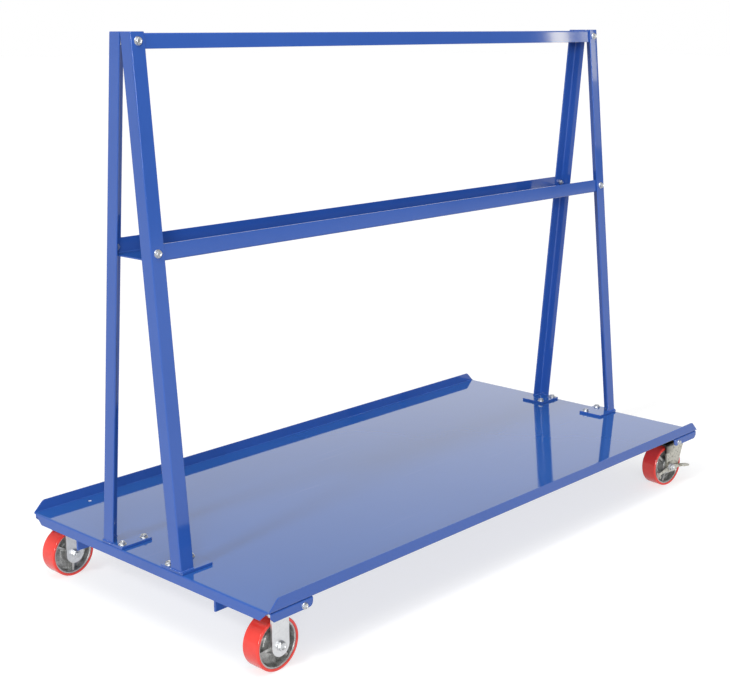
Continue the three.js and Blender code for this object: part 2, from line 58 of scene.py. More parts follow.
# Sizes that the pieces below share with the part
LEAN = math.atan(0.1132 / 1.23545)  # of the legs, from upright: their run over their rise
WHEEL_RADIUS = 0.0635
WHEEL_HALF = 0.0254
CORE_RADIUS = 0.0565
CORE_HALF = 0.023
HUB_RADIUS = 0.025
HUB_HALF = 0.0278
BORE_RADIUS = 0.0107
WEB_HALF = 0.004
RIM_INSIDE = 0.052
RIM_DISH = 0.001
CASTER_X, CASTER_Y = 0.8564, 0.3957  # middles of the caster plates, from the middle of the cart
PLATE_WALL = 0.00635  # caster top plates
LEG_WIDTH, LEG_WALL = 0.0381, 0.0048
FRAME_END, HEEL = 0.9124, 0.1524  # outsides of the legs at their feet, along and across
SPOKE_TURNS = {"near_left": 190, "far_left": 150, "near_right": 135, "far_right": 100}  # degrees up from +X


class Wire:
    """A node's output. Arithmetic on it adds Math nodes to its tree."""

    def __init__(self, tree, socket):
        self.tree, self.socket = tree, socket

    @staticmethod
    def node(tree, kind, settings=None, sockets=None, output=0):
        made = tree.nodes.new(kind)
        for name, value in (settings or {}).items():
            setattr(made, name, value)
        for key, value in (sockets or {}).items():
            for part in value if isinstance(value, list) else [value]:
                if isinstance(part, Wire):
                    tree.links.new(part.socket, made.inputs[key])
                else:
                    made.inputs[key].default_value = part
        return Wire(tree, made.outputs[output])

    def to(self, kind, settings=None, sockets=None, output=0):
        """A node fed by this output, at its first socket."""
        return Wire.node(self.tree, kind, settings, {0: self, **(sockets or {})}, output)

    def math(self, operation, first, second):
        return Wire.node(self.tree, "ShaderNodeMath", {"operation": operation}, {0: first, 1: second})

    def __add__(self, other):
        return self.math("ADD", self, other)

    def __radd__(self, other):
        return self.math("ADD", other, self)

    def __sub__(self, other):
        return self.math("SUBTRACT", self, other)

    def __rsub__(self, other):
        return self.math("SUBTRACT", other, self)

    def __mul__(self, other):
        return self.math("MULTIPLY", self, other)

    def __rmul__(self, other):
        return self.math("MULTIPLY", other, self)

    def __truediv__(self, other):
        return self.math("DIVIDE", self, other)

    def __rtruediv__(self, other):
        return self.math("DIVIDE", other, self)


# Finishes

PLAIN_GLOSS = 0.15  # weight of the clear coat where nothing has polished it


def rgb(red, green, blue):
    """A screen colour, 0 to 255, as the linear colour that a shader takes."""
    def linear(value):
        value /= 255
        return value / 12.92 if value <= 0.04045 else ((value + 0.055) / 1.055) ** 2.4
    return linear(red), linear(green), linear(blue), 1.0


def noise(at, scale, detail=2.0, rough=0.5, stretch=None):
    if stretch:
        at = at.to("ShaderNodeMapping", None, {"Scale": stretch})
    return Wire.node(at.tree, "ShaderNodeTexNoise", None,
                     {"Vector": at, "Scale": scale, "Detail": detail, "Roughness": rough})


def band(value, low, high):
    """0 below low and 1 above high, eased between them."""
    return value.to("ShaderNodeMapRange", {"interpolation_type": "SMOOTHSTEP"}, {1: low, 2: high})


def tint(share, low, high):
    return share.to("ShaderNodeMix", {"data_type": "RGBA"}, {6: low, 7: high}, output=2)


def dent(height, distance, under=None):
    sockets = {"Height": height, "Distance": distance}
    if under:
        sockets["Normal"] = under
    return Wire.node(height.tree, "ShaderNodeBump", None, sockets)


class Finish:
    """A material: constants go on its shader's own sockets, and what varies is linked to them."""

    def __init__(self, name, **constants):
        self.material = bpy.data.materials.new(name)
        self.material.use_nodes = True
        tree = self.material.node_tree
        self.shader = tree.nodes["Principled BSDF"]
        for socket, value in constants.items():
            self.shader.inputs[socket.replace("_", " ")].default_value = value
        self.at = Wire.node(tree, "ShaderNodeTexCoord", output="Object")

    def vary(self, **wires):
        for socket, wire in wires.items():
            wire.tree.links.new(wire.socket, self.shader.inputs[socket.replace("_", " ")])
        return self.material


def powder_coat(name, gloss, scuffed_and_lit_top):
    """Blue powder coat with a fine orange peel. A deck coat is also rubbed and a little faded where sheets
    have lain on it, and its flat tops are painted a brighter blue: painted light from above.
    """
    coat = Finish(name, IOR=1.5, Coat_Weight=gloss, Coat_Roughness=0.03)
    at = coat.at
    cloud = noise(at, 5.0, detail=3.0)
    peel = noise(at, 310.0, detail=1.0)
    colour = tint(cloud, rgb(38, 79, 158), rgb(48, 89, 170))
    matt = (0.05 if scuffed_and_lit_top else 0.07) + 0.04 * cloud
    relief = dent(peel, 0.00001)
    if scuffed_and_lit_top:
        along = noise(at, 3.0, detail=5.0, rough=0.65, stretch=(1.0, 16.0, 1.0))
        across = noise(at, 4.0, detail=5.0, rough=0.65, stretch=(14.0, 1.0, 1.0))
        rubbed = band(along, 0.6, 0.8) + 0.6 * band(across, 0.64, 0.8)
        normal = Wire.node(at.tree, "ShaderNodeTexCoord", output="Normal")
        flat = band(normal.to("ShaderNodeSeparateXYZ", output="Z"), 0.8, 0.95)
        matt = matt + 0.16 * rubbed
        # Painted light: flat, upward faces are painted a brighter blue, standing in for light from above.
        colour = tint(0.5 * flat, colour, rgb(44, 101, 172))
        colour = tint(0.14 * rubbed, colour, rgb(104, 128, 184))
        relief = dent(noise(at, 2.2, detail=1.0), 0.0012, relief)
        coat.vary(Coat_Weight=PLAIN_GLOSS + (gloss - PLAIN_GLOSS) * flat)
    return coat.vary(Base_Color=colour, Roughness=matt, Normal=relief)


def zinc_plating(name, low, high, polish, mottle, painted_race_shade=False):
    """Bright zinc with the cloudy spangle of a plating bath, and dull stains.

    With the flag set, the piece is also painted near black round the kingpin, up by the races: painted shade
    where the swivel head lies in shadow under the deck.
    """
    plate = Finish(name, Metallic=1.0)
    cloud = noise(plate.at, 60.0, detail=4.0, rough=0.6)
    grain = noise(plate.at, 700.0, detail=2.0)
    stain = mottle * band(noise(plate.at, 140.0, detail=3.0, rough=0.7), 0.5, 0.68)
    colour = tint(stain, tint(cloud, low, high), rgb(96, 94, 88))
    if painted_race_shade:
        # Painted shade: near black round the kingpin, up by the races, where the swivel head lies in shadow
        # under the deck.
        y, z = (plate.at.to("ShaderNodeSeparateXYZ", output=axis) for axis in "YZ")
        from_pin = y.math("ABSOLUTE", y.math("ABSOLUTE", y, 0.0) - CASTER_Y, 0.0)
        round_pin = 1 - band(from_pin, 0.024, 0.032)
        by_races = band(z + 0.02 * cloud, 0.115, 0.122)
        colour = tint(0.92 * (round_pin * by_races), colour, rgb(30, 29, 27))
    return plate.vary(
        Base_Color=colour,
        Roughness=polish + 0.14 * cloud + 0.08 * grain + 0.2 * stain,
        Normal=dent(grain, 0.00002),
    )


def cast_metal(name):
    """Cast wheel centre: sandy, darker in the hollows of its skin, and bright where a lathe has cut."""
    cast = Finish(name, Metallic=0.7)
    cut = Wire.node(cast.at.tree, "ShaderNodeAttribute", {"attribute_name": "machined"}, output="Fac")
    sand = noise(cast.at, 900.0, detail=3.0, rough=0.65)
    cloud = band(noise(cast.at, 60.0, detail=4.0, rough=0.6), 0.32, 0.66)
    pits = band(sand, 0.38, 0.6)
    skin = tint(0.45 * pits + 0.55 * cloud, rgb(88, 88, 86), rgb(212, 213, 211))
    return cast.vary(
        Base_Color=tint(cut, skin, rgb(182, 184, 183)),
        Roughness=0.4 - 0.12 * pits + 0.1 * cloud - 0.06 * cut,
        Normal=dent(sand * (1 - 0.8 * cut), 0.00018),
    )


def red_urethane(name):
    """Moulded polyurethane: glossy, a little cloudy, with fine scratches round the tread."""
    tyre = Finish(name, IOR=1.5, Subsurface_Weight=0.08, Subsurface_Radius=(0.004, 0.0008, 0.0005))
    cloud = noise(tyre.at, 38.0, detail=3.0)
    scratch = noise(tyre.at, 90.0, detail=4.0, rough=0.7, stretch=(1.0, 7.0, 1.0))
    return tyre.vary(
        Base_Color=tint(cloud, rgb(216, 54, 46), rgb(234, 72, 63)),
        Roughness=0.1 + 0.08 * cloud + 0.14 * band(scratch, 0.55, 0.75),
        Normal=dent(noise(tyre.at, 150.0), 0.00005),
    )


paint = powder_coat("blue_powder_coat", gloss=PLAIN_GLOSS, scuffed_and_lit_top=False)
# Deck and shelf paint: rubbed, and painted lighter on its flat tops as painted light from above.
deck_paint = powder_coat("blue_powder_coat_scuffed", gloss=0.8, scuffed_and_lit_top=True)
bright_zinc = zinc_plating("bright_zinc", rgb(190, 193, 195), rgb(224, 226, 228), polish=0.28, mottle=0.2)
fork_zinc = zinc_plating("fork_zinc", rgb(208, 210, 212), rgb(236, 237, 238), polish=0.3, mottle=0.1)
swivel_zinc = zinc_plating("swivel_zinc", rgb(180, 178, 168), rgb(214, 212, 202), polish=0.24, mottle=0.6,
                           painted_race_shade=True)
cast = cast_metal("cast_centre")
urethane = red_urethane("red_urethane")


# Pieces

def placed(name, mesh, body, material=None, stands_for=()):
    """A finished piece: its mesh is in the part's frame, and it rides on a body."""
    piece = bpy.data.objects.new(name, mesh)
    bpy.context.scene.collection.objects.link(piece)
    if material:
        mesh.materials.clear()
        mesh.materials.append(material)
    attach(piece, body)
    if stands_for:
        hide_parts(*stands_for)
    return piece


def baked(source):
    """The mesh of an object with its modifiers applied; the object goes."""
    seen = source.evaluated_get(bpy.context.evaluated_depsgraph_get())
    mesh = bpy.data.meshes.new_from_object(seen)
    bpy.data.objects.remove(source)
    return mesh


def smoothed(mesh, crease=35):
    """Smooth shading that stays sharp at edges steeper than the crease, in degrees."""
    mesh.shade_smooth()
    mesh.set_sharp_from_angle(angle=math.radians(crease))
    return mesh


def softened(node, edge):
    """A copy of a solid with joined faces, rounded edges and smooth bends."""
    mesh = bpy.data.meshes.new(node)
    work = bmesh.new()
    work.from_mesh(nodes[node].data)
    bmesh.ops.remove_doubles(work, verts=work.verts, dist=2e-6)
    bmesh.ops.dissolve_limit(work, angle_limit=math.radians(0.5), verts=work.verts, edges=work.edges)
    work.to_mesh(mesh)
    work.free()
    mesh.shade_smooth()
    source = bpy.data.objects.new(node, mesh)
    bpy.context.scene.collection.objects.link(source)
    bevel = source.modifiers.new("edge", "BEVEL")
    bevel.width, bevel.segments = edge, 2
    bevel.limit_method, bevel.angle_limit = "ANGLE", math.radians(40)
    even = source.modifiers.new("even", "WEIGHTED_NORMAL")
    even.weight = 100
    return baked(source)


def dress(names, material, edge, body=CART):
    for node in names:
        placed(f"{node}_finished", softened(node, edge), body, material, [node])


dress(["deck", "mid_shelf"], deck_paint, edge=0.0004)
dress([f"base_plate_{at}" for at in CORNERS], deck_paint, edge=0.0006)
dress([f"leg_{at}" for at in CORNERS] + ["stringer_near", "stringer_far"], paint,
      edge=0.0017)
dress([f"caster_pad_{at}" for at in CORNERS] + ["top_rail"], paint, edge=0.0005)
dress([f"caster_fork_{at}" for at in RIGID], fork_zinc, edge=0.0008)
for at in SWIVEL:
    dress([f"swivel_plate_{at}", f"kingpin_{at}"], swivel_zinc, edge=0.0006)
    dress([f"swivel_fork_{at}"], swivel_zinc, edge=0.0008, body=f"swivel_{at}")
    dress([f"brake_lever_{at}"], swivel_zinc, edge=0.0007, body=f"brake_{at}")
for at in CORNERS:
    nodes[f"axle_sleeve_{at}"].data.materials.clear()
    nodes[f"axle_sleeve_{at}"].data.materials.append(bright_zinc)


# Wheels

def arc(radius, y, size, start, stop, steps=5):
    """Points of a rounded corner about (radius, y), between two angles in degrees."""
    turns = [math.radians(start + (stop - start) * i / steps) for i in range(steps + 1)]
    return [(radius + size * math.cos(turn), y + size * math.sin(turn)) for turn in turns]


def turned(profile, sides=96):
    """A ring about Y through a closed profile of (radius, y)."""
    work = bmesh.new()
    count = len(profile)
    rings = []
    for i in range(sides):
        turn = 2 * math.pi * i / sides
        rings.append([work.verts.new((r * math.cos(turn), y, r * math.sin(turn))) for r, y in profile])
    for i in range(sides):
        ring, after = rings[i], rings[(i + 1) % sides]
        for k in range(count):
            work.faces.new((ring[k], ring[(k + 1) % count], after[(k + 1) % count], after[k]))
    bmesh.ops.recalc_face_normals(work, faces=work.faces)
    mesh = bpy.data.meshes.new("ring")
    work.to_mesh(mesh)
    work.free()
    return mesh


def tread_profile():
    """Tread from its inner corner: flat sides, round shoulders and a flat face."""
    shoulder = 0.0035
    inside = CORE_RADIUS + 0.0002
    outer = arc(WHEEL_RADIUS - shoulder, WHEEL_HALF - shoulder, shoulder, 90, 0, 7)
    face = [(WHEEL_RADIUS, 0.012), (WHEEL_RADIUS, 0.0)]
    half = [(inside, WHEEL_HALF - 0.0004)] + outer + face
    return half + [(r, -y) for r, y in reversed(half[:-1])]


def core_profile():
    """Half of a wheel centre's section, mirrored: bore, hub, dished web and rim."""
    hub = arc(HUB_RADIUS - 0.0022, HUB_HALF - 0.0012, 0.0012, 90, 0, 4)
    root = arc(HUB_RADIUS + 0.004, WEB_HALF + 0.004, 0.004, 180, 270, 5)
    dish = arc(RIM_INSIDE - RIM_DISH - 0.004, WEB_HALF + 0.004, 0.004, 270, 356, 5)
    lip = arc(RIM_INSIDE + 0.0024, CORE_HALF - 0.0024, 0.0024, 180, 90, 5)
    half = [(BORE_RADIUS, HUB_HALF)] + hub + root + dish + lip + [(CORE_RADIUS, CORE_HALF)]
    return half + [(r, -y) for r, y in reversed(half)]


def geometry_tree(name, sizes):
    """A Geometry Nodes tree with named inputs, and a wire from each of them."""
    tree = bpy.data.node_groups.new(name, "GeometryNodeTree")
    tree.interface.new_socket("Geometry", in_out="INPUT", socket_type="NodeSocketGeometry")
    for size in sizes:
        kind = "NodeSocketInt" if size == "Count" else "NodeSocketFloat"
        tree.interface.new_socket(size, in_out="INPUT", socket_type=kind)
    tree.interface.new_socket("Finish", in_out="INPUT", socket_type="NodeSocketMaterial")
    tree.interface.new_socket("Geometry", in_out="OUTPUT", socket_type="NodeSocketGeometry")
    source = tree.nodes.new("NodeGroupInput")
    return tree, {socket.name: Wire(tree, socket) for socket in source.outputs if socket.name}


def end_tree(tree, geometry, finish):
    """Realizes the instances, gives them their material and ends the tree."""
    whole = geometry.to("GeometryNodeRealizeInstances")
    done = whole.to("GeometryNodeSetMaterial", None, {"Material": finish})
    tree.links.new(done.socket, tree.nodes.new("NodeGroupOutput").inputs[0])


def grown(tree, mesh, sizes, material):
    """The plain mesh that a tree makes from a seed mesh and its sizes."""
    seed = bpy.data.objects.new("seed", mesh)
    bpy.context.scene.collection.objects.link(seed)
    modifier = seed.modifiers.new("grow", "NODES")
    modifier.node_group = tree
    values = {**sizes, "Finish": material}
    for item in tree.interface.items_tree:
        if item.in_out == "INPUT" and item.name in values:
            modifier[item.identifier] = values[item.name]
    return baked(seed)


def solid_of(tree, operation, *shapes):
    """The union or the common part of several closed shapes."""
    return Wire.node(tree, "GeometryNodeMeshBoolean", {"operation": operation, "solver": "EXACT"},
                     {1: list(shapes)})


def vector(tree, x=0.0, y=0.0, z=0.0):
    return Wire.node(tree, "ShaderNodeCombineXYZ", None, {0: x, 1: y, 2: z})


def moved(shape, lift=0.0, turn=(0.0, 0.0, 0.0), scale=(1.0, 1.0, 1.0)):
    return shape.to("GeometryNodeTransform", None,
                    {"Translation": vector(shape.tree, z=lift), "Rotation": turn, "Scale": scale})


def spoke_tree():
    """Spokes set round a turned wheel centre and fused with it."""
    tree, size = geometry_tree(
        "wheel_spokes", ["Count", "Thickness", "Hub reach", "Rim reach", "Root", "Length", "Machined"])
    diagonal = math.sqrt(2)
    rib = Wire.node(tree, "GeometryNodeMeshCone", None, {
        "Vertices": 4, "Radius Bottom": size["Hub reach"] * diagonal,
        "Radius Top": size["Rim reach"] * diagonal, "Depth": size["Length"]})
    rib = moved(rib, turn=(0.0, 0.0, math.pi / 4))
    thin = vector(tree, size["Thickness"] / (2 * size["Hub reach"]), 1.0, 1.0)
    rib = moved(rib, lift=size["Root"], scale=thin)
    points = Wire.node(tree, "GeometryNodeMeshLine", None,
                       {"Count": size["Count"], "Offset": (0.0, 0.0, 0.0)})
    index = Wire.node(tree, "GeometryNodeInputIndex")
    turn = vector(tree, y=index * (2 * math.pi) / size["Count"])
    ribs = points.to("GeometryNodeInstanceOnPoints", None,
                     {"Instance": rib, "Rotation": turn.to("FunctionNodeEulerToRotation")})
    fused = solid_of(tree, "UNION", size["Geometry"], ribs.to("GeometryNodeRealizeInstances"))
    end_tree(tree, faced(fused, size["Machined"], size["Root"] + 0.003), size["Finish"])
    return tree


def faced(shape, reach, hub):
    """Marks the faces that a lathe has cut: the hub, and those square to the axle and out beyond a reach."""
    tree = shape.tree
    normal = Wire.node(tree, "GeometryNodeInputNormal").to("ShaderNodeSeparateXYZ", output="Y")
    place = Wire.node(tree, "GeometryNodeInputPosition")
    x, y, z = (place.to("ShaderNodeSeparateXYZ", output=axis) for axis in "XYZ")
    square = y.math("GREATER_THAN", normal * normal, 0.9)
    rim = square * y.math("GREATER_THAN", y * y, reach * reach)
    cut = y.math("MAXIMUM", rim, 0.4 * y.math("LESS_THAN", x * x + z * z, hub * hub))
    return shape.to("GeometryNodeStoreNamedAttribute", {"data_type": "FLOAT", "domain": "FACE"},
                    {"Name": "machined", "Value": cut})


core_mesh = smoothed(grown(spoke_tree(), turned(core_profile()), {
    "Count": 3, "Thickness": 0.007, "Hub reach": 0.022, "Rim reach": 0.019, "Root": HUB_RADIUS - 0.002,
    "Length": RIM_INSIDE - RIM_DISH / 2 - HUB_RADIUS + 0.002, "Machined": CORE_HALF - 0.0002}, cast), 40)
tread_mesh = smoothed(turned(tread_profile()), 60)
for at in CORNERS:
    axle = joints[f"wheel_{at}"]
    along = Vector(axle["axis"])
    place = (Matrix.Translation(axle["pos_m"])
             @ Vector((0, 1, 0)).rotation_difference(along).to_matrix().to_4x4()
             @ Matrix.Rotation(math.radians(90 - SPOKE_TURNS[at]), 4, "Y"))
    for part, shape, slot, material in (("core", core_mesh, "cast_core", cast),
                                        ("tread", tread_mesh, "red_tread", urethane)):
        mesh = shape.copy()
        mesh.transform(place)
        placed(f"wheel_{part}_{at}_finished", mesh, f"wheel_{at}", material, [f"wheel_{part}_{at}"])


# Bolts: heads on their seats, nuts and threads on the far side

def head_tree():
    """An indented hex head on a washer face, with its shank, at each seed point along its axis."""
    tree, size = geometry_tree(
        "bolt_heads", ["Across flats", "Head height", "Flange", "Flange height", "Shank", "Length"])
    flats, height = size["Across flats"], size["Head height"]
    prism = Wire.node(tree, "GeometryNodeMeshCylinder", None, {
        "Vertices": 6, "Radius": flats / math.sqrt(3), "Depth": height})
    prism = moved(prism, lift=height * -0.5)
    crown = Wire.node(tree, "GeometryNodeMeshCone", None, {
        "Vertices": 48, "Radius Bottom": flats * 0.46, "Radius Top": flats * 0.46 + height * 1.8,
        "Depth": height * 1.2})
    crown = moved(crown, lift=height * -1.0)
    flange = Wire.node(tree, "GeometryNodeMeshCone", None, {
        "Vertices": 48, "Radius Bottom": size["Flange"] * 0.45, "Radius Top": size["Flange"] * 0.5,
        "Depth": size["Flange height"]})
    flange = moved(flange, lift=size["Flange height"] * -1.0)
    shank = Wire.node(tree, "GeometryNodeMeshCylinder", None, {
        "Vertices": 32, "Radius": size["Shank"] * 0.5, "Depth": size["Length"] + size["Flange height"]})
    shank = moved(shank, lift=(size["Length"] - size["Flange height"]) * 0.5)
    dish = Wire.node(tree, "GeometryNodeMeshCone", None, {
        "Vertices": 32, "Radius Bottom": flats * 0.38, "Radius Top": flats * 0.26, "Depth": height * 0.24})
    dish = moved(dish, lift=height * -1.04)
    bolt = solid_of(tree, "UNION", solid_of(tree, "INTERSECT", prism, crown), flange, shank)
    bolt = Wire.node(tree, "GeometryNodeMeshBoolean", {"operation": "DIFFERENCE", "solver": "EXACT"},
                     {0: bolt, 1: dish})
    end_tree(tree, on_axes(tree, size["Geometry"], bolt), size["Finish"])
    return tree


def nut_tree():
    """A nut chamfered on both faces, and the rolled thread that runs out of it."""
    tree, size = geometry_tree("bolt_nuts", ["Across flats", "Nut height", "Shank", "Tail", "Pitch"])
    flats, height = size["Across flats"], size["Nut height"]
    prism = Wire.node(tree, "GeometryNodeMeshCylinder", None, {
        "Vertices": 6, "Radius": flats / math.sqrt(3), "Depth": height})
    cone = Wire.node(tree, "GeometryNodeMeshCone", None, {
        "Vertices": 48, "Radius Bottom": flats * 0.48, "Radius Top": flats * 0.48 + height * 1.8,
        "Depth": height * 1.02})
    lower = moved(cone, lift=height * -0.51)
    upper = moved(lower, turn=(math.pi, 0.0, 0.0))
    nut = moved(solid_of(tree, "INTERSECT", prism, lower, upper), lift=height * 0.5)
    reach = height + size["Tail"]
    core = Wire.node(tree, "GeometryNodeMeshCylinder", None, {
        "Vertices": 32, "Radius": size["Shank"] * 0.5 - size["Pitch"] * 0.5, "Depth": reach})
    core = moved(core, lift=reach * 0.5)
    line = Wire.node(tree, "GeometryNodeCurveSpiral", None, {
        "Resolution": 24, "Rotations": (size["Tail"] - size["Pitch"]) / size["Pitch"],
        "Start Radius": size["Shank"] * 0.5 - size["Pitch"] * 0.5,
        "End Radius": size["Shank"] * 0.5 - size["Pitch"] * 0.5, "Height": size["Tail"] - size["Pitch"]})
    ridge = Wire.node(tree, "GeometryNodeCurvePrimitiveCircle", None,
                      {"Resolution": 4, "Radius": size["Pitch"] * 0.5})
    thread = line.to("GeometryNodeCurveToMesh", None, {"Profile Curve": ridge, "Fill Caps": True})
    thread = moved(thread, lift=height + size["Pitch"] * 0.5)
    fused = solid_of(tree, "UNION", nut, core)
    whole = Wire.node(tree, "GeometryNodeJoinGeometry", None, {0: [fused, thread]})
    end_tree(tree, on_axes(tree, size["Geometry"], whole), size["Finish"])
    return tree


def on_axes(tree, points, shape):
    """The shape at each point, its Z turned to the point's axis."""
    axis = Wire.node(tree, "GeometryNodeInputNamedAttribute", {"data_type": "FLOAT_VECTOR"}, {"Name": "axis"})
    turn = Wire.node(tree, "FunctionNodeAlignRotationToVector", {"axis": "Z"}, {"Vector": axis})
    return points.to("GeometryNodeInstanceOnPoints", None, {"Instance": shape, "Rotation": turn})


def seeds(places):
    """A mesh of loose points, each with the axis that its copy follows."""
    mesh = bpy.data.meshes.new("seeds")
    mesh.from_pydata([point for point, _ in places], [], [])
    axes = mesh.attributes.new("axis", "FLOAT_VECTOR", "POINT")
    for value, (_, axis) in zip(axes.data, places):
        value.vector = axis
    return mesh


def seat_of(node, axis, head):
    """Where a bolt's head seats: on the middle of its solid, a head's height from its top."""
    points = {tuple(round(x, 6) for x in vertex.co) for vertex in nodes[node].data.vertices}
    middle = sum((Vector(point) for point in points), Vector()) / len(points)
    top = min((Vector(point) - middle).dot(axis) for point in points)
    return middle + axis * (top + head)


heads, nuts = head_tree(), nut_tree()
FRAME_BOLT = {"Across flats": 0.0143, "Head height": 0.007, "Flange": 0.021, "Flange height": 0.0022,
              "Shank": 0.0095, "Nut height": 0.008, "Tail": 0.003, "Pitch": 0.0012}
AXLE_BOLT = {"Across flats": 0.019, "Head height": 0.008, "Flange": 0.024, "Flange height": 0.002,
             "Shank": 0.0127, "Nut height": 0.010, "Tail": 0.003, "Pitch": 0.0014}
PLATE_BOLT = {"Across flats": 0.0143, "Head height": 0.0062, "Flange": 0.02, "Flange height": 0.0016,
              "Shank": 0.0095}
TAB_BOLT = {"Across flats": 0.0127, "Head height": 0.0053, "Flange": 0.0165, "Flange height": 0.0016,
            "Shank": 0.0079, "Nut height": 0.0066, "Tail": 0.0028, "Pitch": 0.0011}
BASE_GRIP, LEG_GRIP, TAB_GRIP = 0.00965, 0.0084, 0.0032  # from a bolt's seat to its nut
RIGID_GRIP, SWIVEL_GRIP = 0.0686, 0.0732
PLATE_BOLT_REACH = 0.009
PLATE_BOLT_X, PLATE_BOLT_Y = 0.038, 0.046  # from the middle of a caster plate
TAB_BOLT_X, TAB_BOLT_Z = 0.8074, 0.1505
DECK_SIDE = 0.4572


def ends_of(at):
    """The signs of a corner's end and side: left and near are -1."""
    return 1 if at in SWIVEL else -1, -1 if at.startswith("near") else 1


def bolts(name, size, places, grip, body, stands_for=(), nutted=True):
    """Heads, and nuts a grip further on, at places given as (seat, axis)."""
    length = grip if not nutted else grip + size["Nut height"]
    shape = grown(heads, seeds(places), {**size, "Length": length}, bright_zinc)
    placed(f"{name}_heads", smoothed(shape, 30), body, stands_for=stands_for)
    if nutted:
        far = [(seat + axis * grip, axis) for seat, axis in places]
        placed(f"{name}_nuts", smoothed(grown(nuts, seeds(far), size, bright_zinc), 30), body)


down = Vector((0, 0, -1))
base = [f"base_bolt_{at}_{which}" for at in CORNERS for which in ("outer", "inner")]
bolts("base_bolt", FRAME_BOLT, [(seat_of(node, down, FRAME_BOLT["Head height"]), down) for node in base],
      BASE_GRIP, CART, base)
for member in ("rail", "shelf"):
    names, places = [], []
    for at in CORNERS:
        _, side = ends_of(at)
        axis = Vector((0, -side * math.cos(LEAN), -math.sin(LEAN)))
        names.append(f"{member}_bolt_{at}")
        places.append((seat_of(names[-1], axis, FRAME_BOLT["Head height"]), axis))
    bolts(f"{member}_bolt", FRAME_BOLT, places, LEG_GRIP, CART, names)
for at in CORNERS:
    node = f"axle_bolt_{at}"
    _, side = ends_of(at)
    axis = Vector(joints[f"wheel_{at}"]["axis"]) * -side
    seat = seat_of(node, axis, AXLE_BOLT["Head height"])
    grip, body = (RIGID_GRIP, CART) if at in RIGID else (SWIVEL_GRIP, f"swivel_{at}")
    bolts(node, AXLE_BOLT, [(seat, axis)], grip, body, [node])

up = Vector((0, 0, 1))
plate_seats = []
for at in CORNERS:
    end, side = ends_of(at)
    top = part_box(f"caster_fork_{at}" if at in RIGID else f"swivel_plate_{at}")[1].z
    middle = Vector((end * CASTER_X, side * CASTER_Y, 0))
    for dx in (-PLATE_BOLT_X, PLATE_BOLT_X):
        for dy in (-PLATE_BOLT_Y, PLATE_BOLT_Y):
            plate_seats.append((middle + Vector((dx, dy, top - PLATE_WALL)), up))
bolts("plate_bolt", PLATE_BOLT, plate_seats, PLATE_BOLT_REACH, CART, nutted=False)

tab_seats = []
for at in CORNERS:
    end, side = ends_of(at)
    seat = Vector((end * TAB_BOLT_X, side * DECK_SIDE, TAB_BOLT_Z))
    tab_seats.append((seat, Vector((0, -side, 0))))
bolts("tab_bolt", TAB_BOLT, tab_seats, TAB_GRIP, CART)


# Welds

def weld_tree():
    """A rippled bead along each line of the seed."""
    tree, size = geometry_tree("weld_beads", ["Bead", "Ripple"])
    line = size["Geometry"].to("GeometryNodeMeshToCurve")
    line = line.to("GeometryNodeResampleCurve", {"mode": "LENGTH"}, {"Length": size["Ripple"] / 5})
    along = Wire.node(tree, "GeometryNodeSplineParameter", output="Length")
    wave = along * (2 * math.pi) / size["Ripple"]
    swell = 1 + 0.13 * wave.to("ShaderNodeMath", {"operation": "SINE"})
    ring = Wire.node(tree, "GeometryNodeCurvePrimitiveCircle", None,
                     {"Resolution": 10, "Radius": size["Bead"]})
    bead = line.to("GeometryNodeCurveToMesh", None,
                   {"Profile Curve": ring, "Scale": swell, "Fill Caps": True})
    end_tree(tree, bead, size["Finish"])
    return tree


def weld(name, paths, bead, material):
    points, edges = [], []
    for path in paths:
        edges += [(len(points) + i, len(points) + i + 1) for i in range(len(path) - 1)]
        points += path
    mesh = bpy.data.meshes.new(name)
    mesh.from_pydata(points, edges, [])
    made = grown(welds, mesh, {"Bead": bead, "Ripple": bead}, material)
    placed(name, smoothed(made, 50), CART)


welds = weld_tree()
FRAME_BEAD, FORK_BEAD = 0.0024, 0.0022
STITCH, STITCH_PITCH, STITCHES = 0.05, 0.25, 7  # along each side of a stringer
FORK_WELD_X, FORK_WELD_Y = 0.026, 0.024  # fork walls under their plate, and half a bead's length
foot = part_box("base_plate_near_left")[1].z
leg_feet = []
for sx in (-1, 1):
    for sy in (-1, 1):
        for wall, end in ((0.0, 0.001), (LEG_WALL, 0.0)):
            x, y = sx * (FRAME_END - wall), sy * (HEEL - wall)
            leg_feet.append([(sx * (FRAME_END - LEG_WIDTH + end), y, foot), (x, y, foot),
                             (x, sy * (HEEL - LEG_WIDTH + end), foot)])
weld("leg_foot_welds", leg_feet, FRAME_BEAD, paint)

under = []
for side in ("near", "far"):
    low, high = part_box(f"stringer_{side}")
    for y in (low.y, high.y):
        for i in range(STITCHES):
            x = STITCH_PITCH * (i - STITCHES // 2)
            under.append([(x - STITCH / 2, y, high.z), (x + STITCH / 2, y, high.z)])
weld("stringer_welds", under, FRAME_BEAD, paint)

crowns = []
for at in RIGID:
    x, y, _ = joints[f"wheel_{at}"]["pos_m"]
    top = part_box(f"caster_fork_{at}")[1].z - PLATE_WALL
    for dx in (-FORK_WELD_X, FORK_WELD_X):
        crowns.append([(x + dx, y - FORK_WELD_Y, top), (x + dx, y + FORK_WELD_Y, top)])
weld("fork_welds", crowns, FORK_BEAD, fork_zinc)


# Floor, light and camera

ROOM_GLOW = 0.34  # light that lands on the cart from the floor and the room


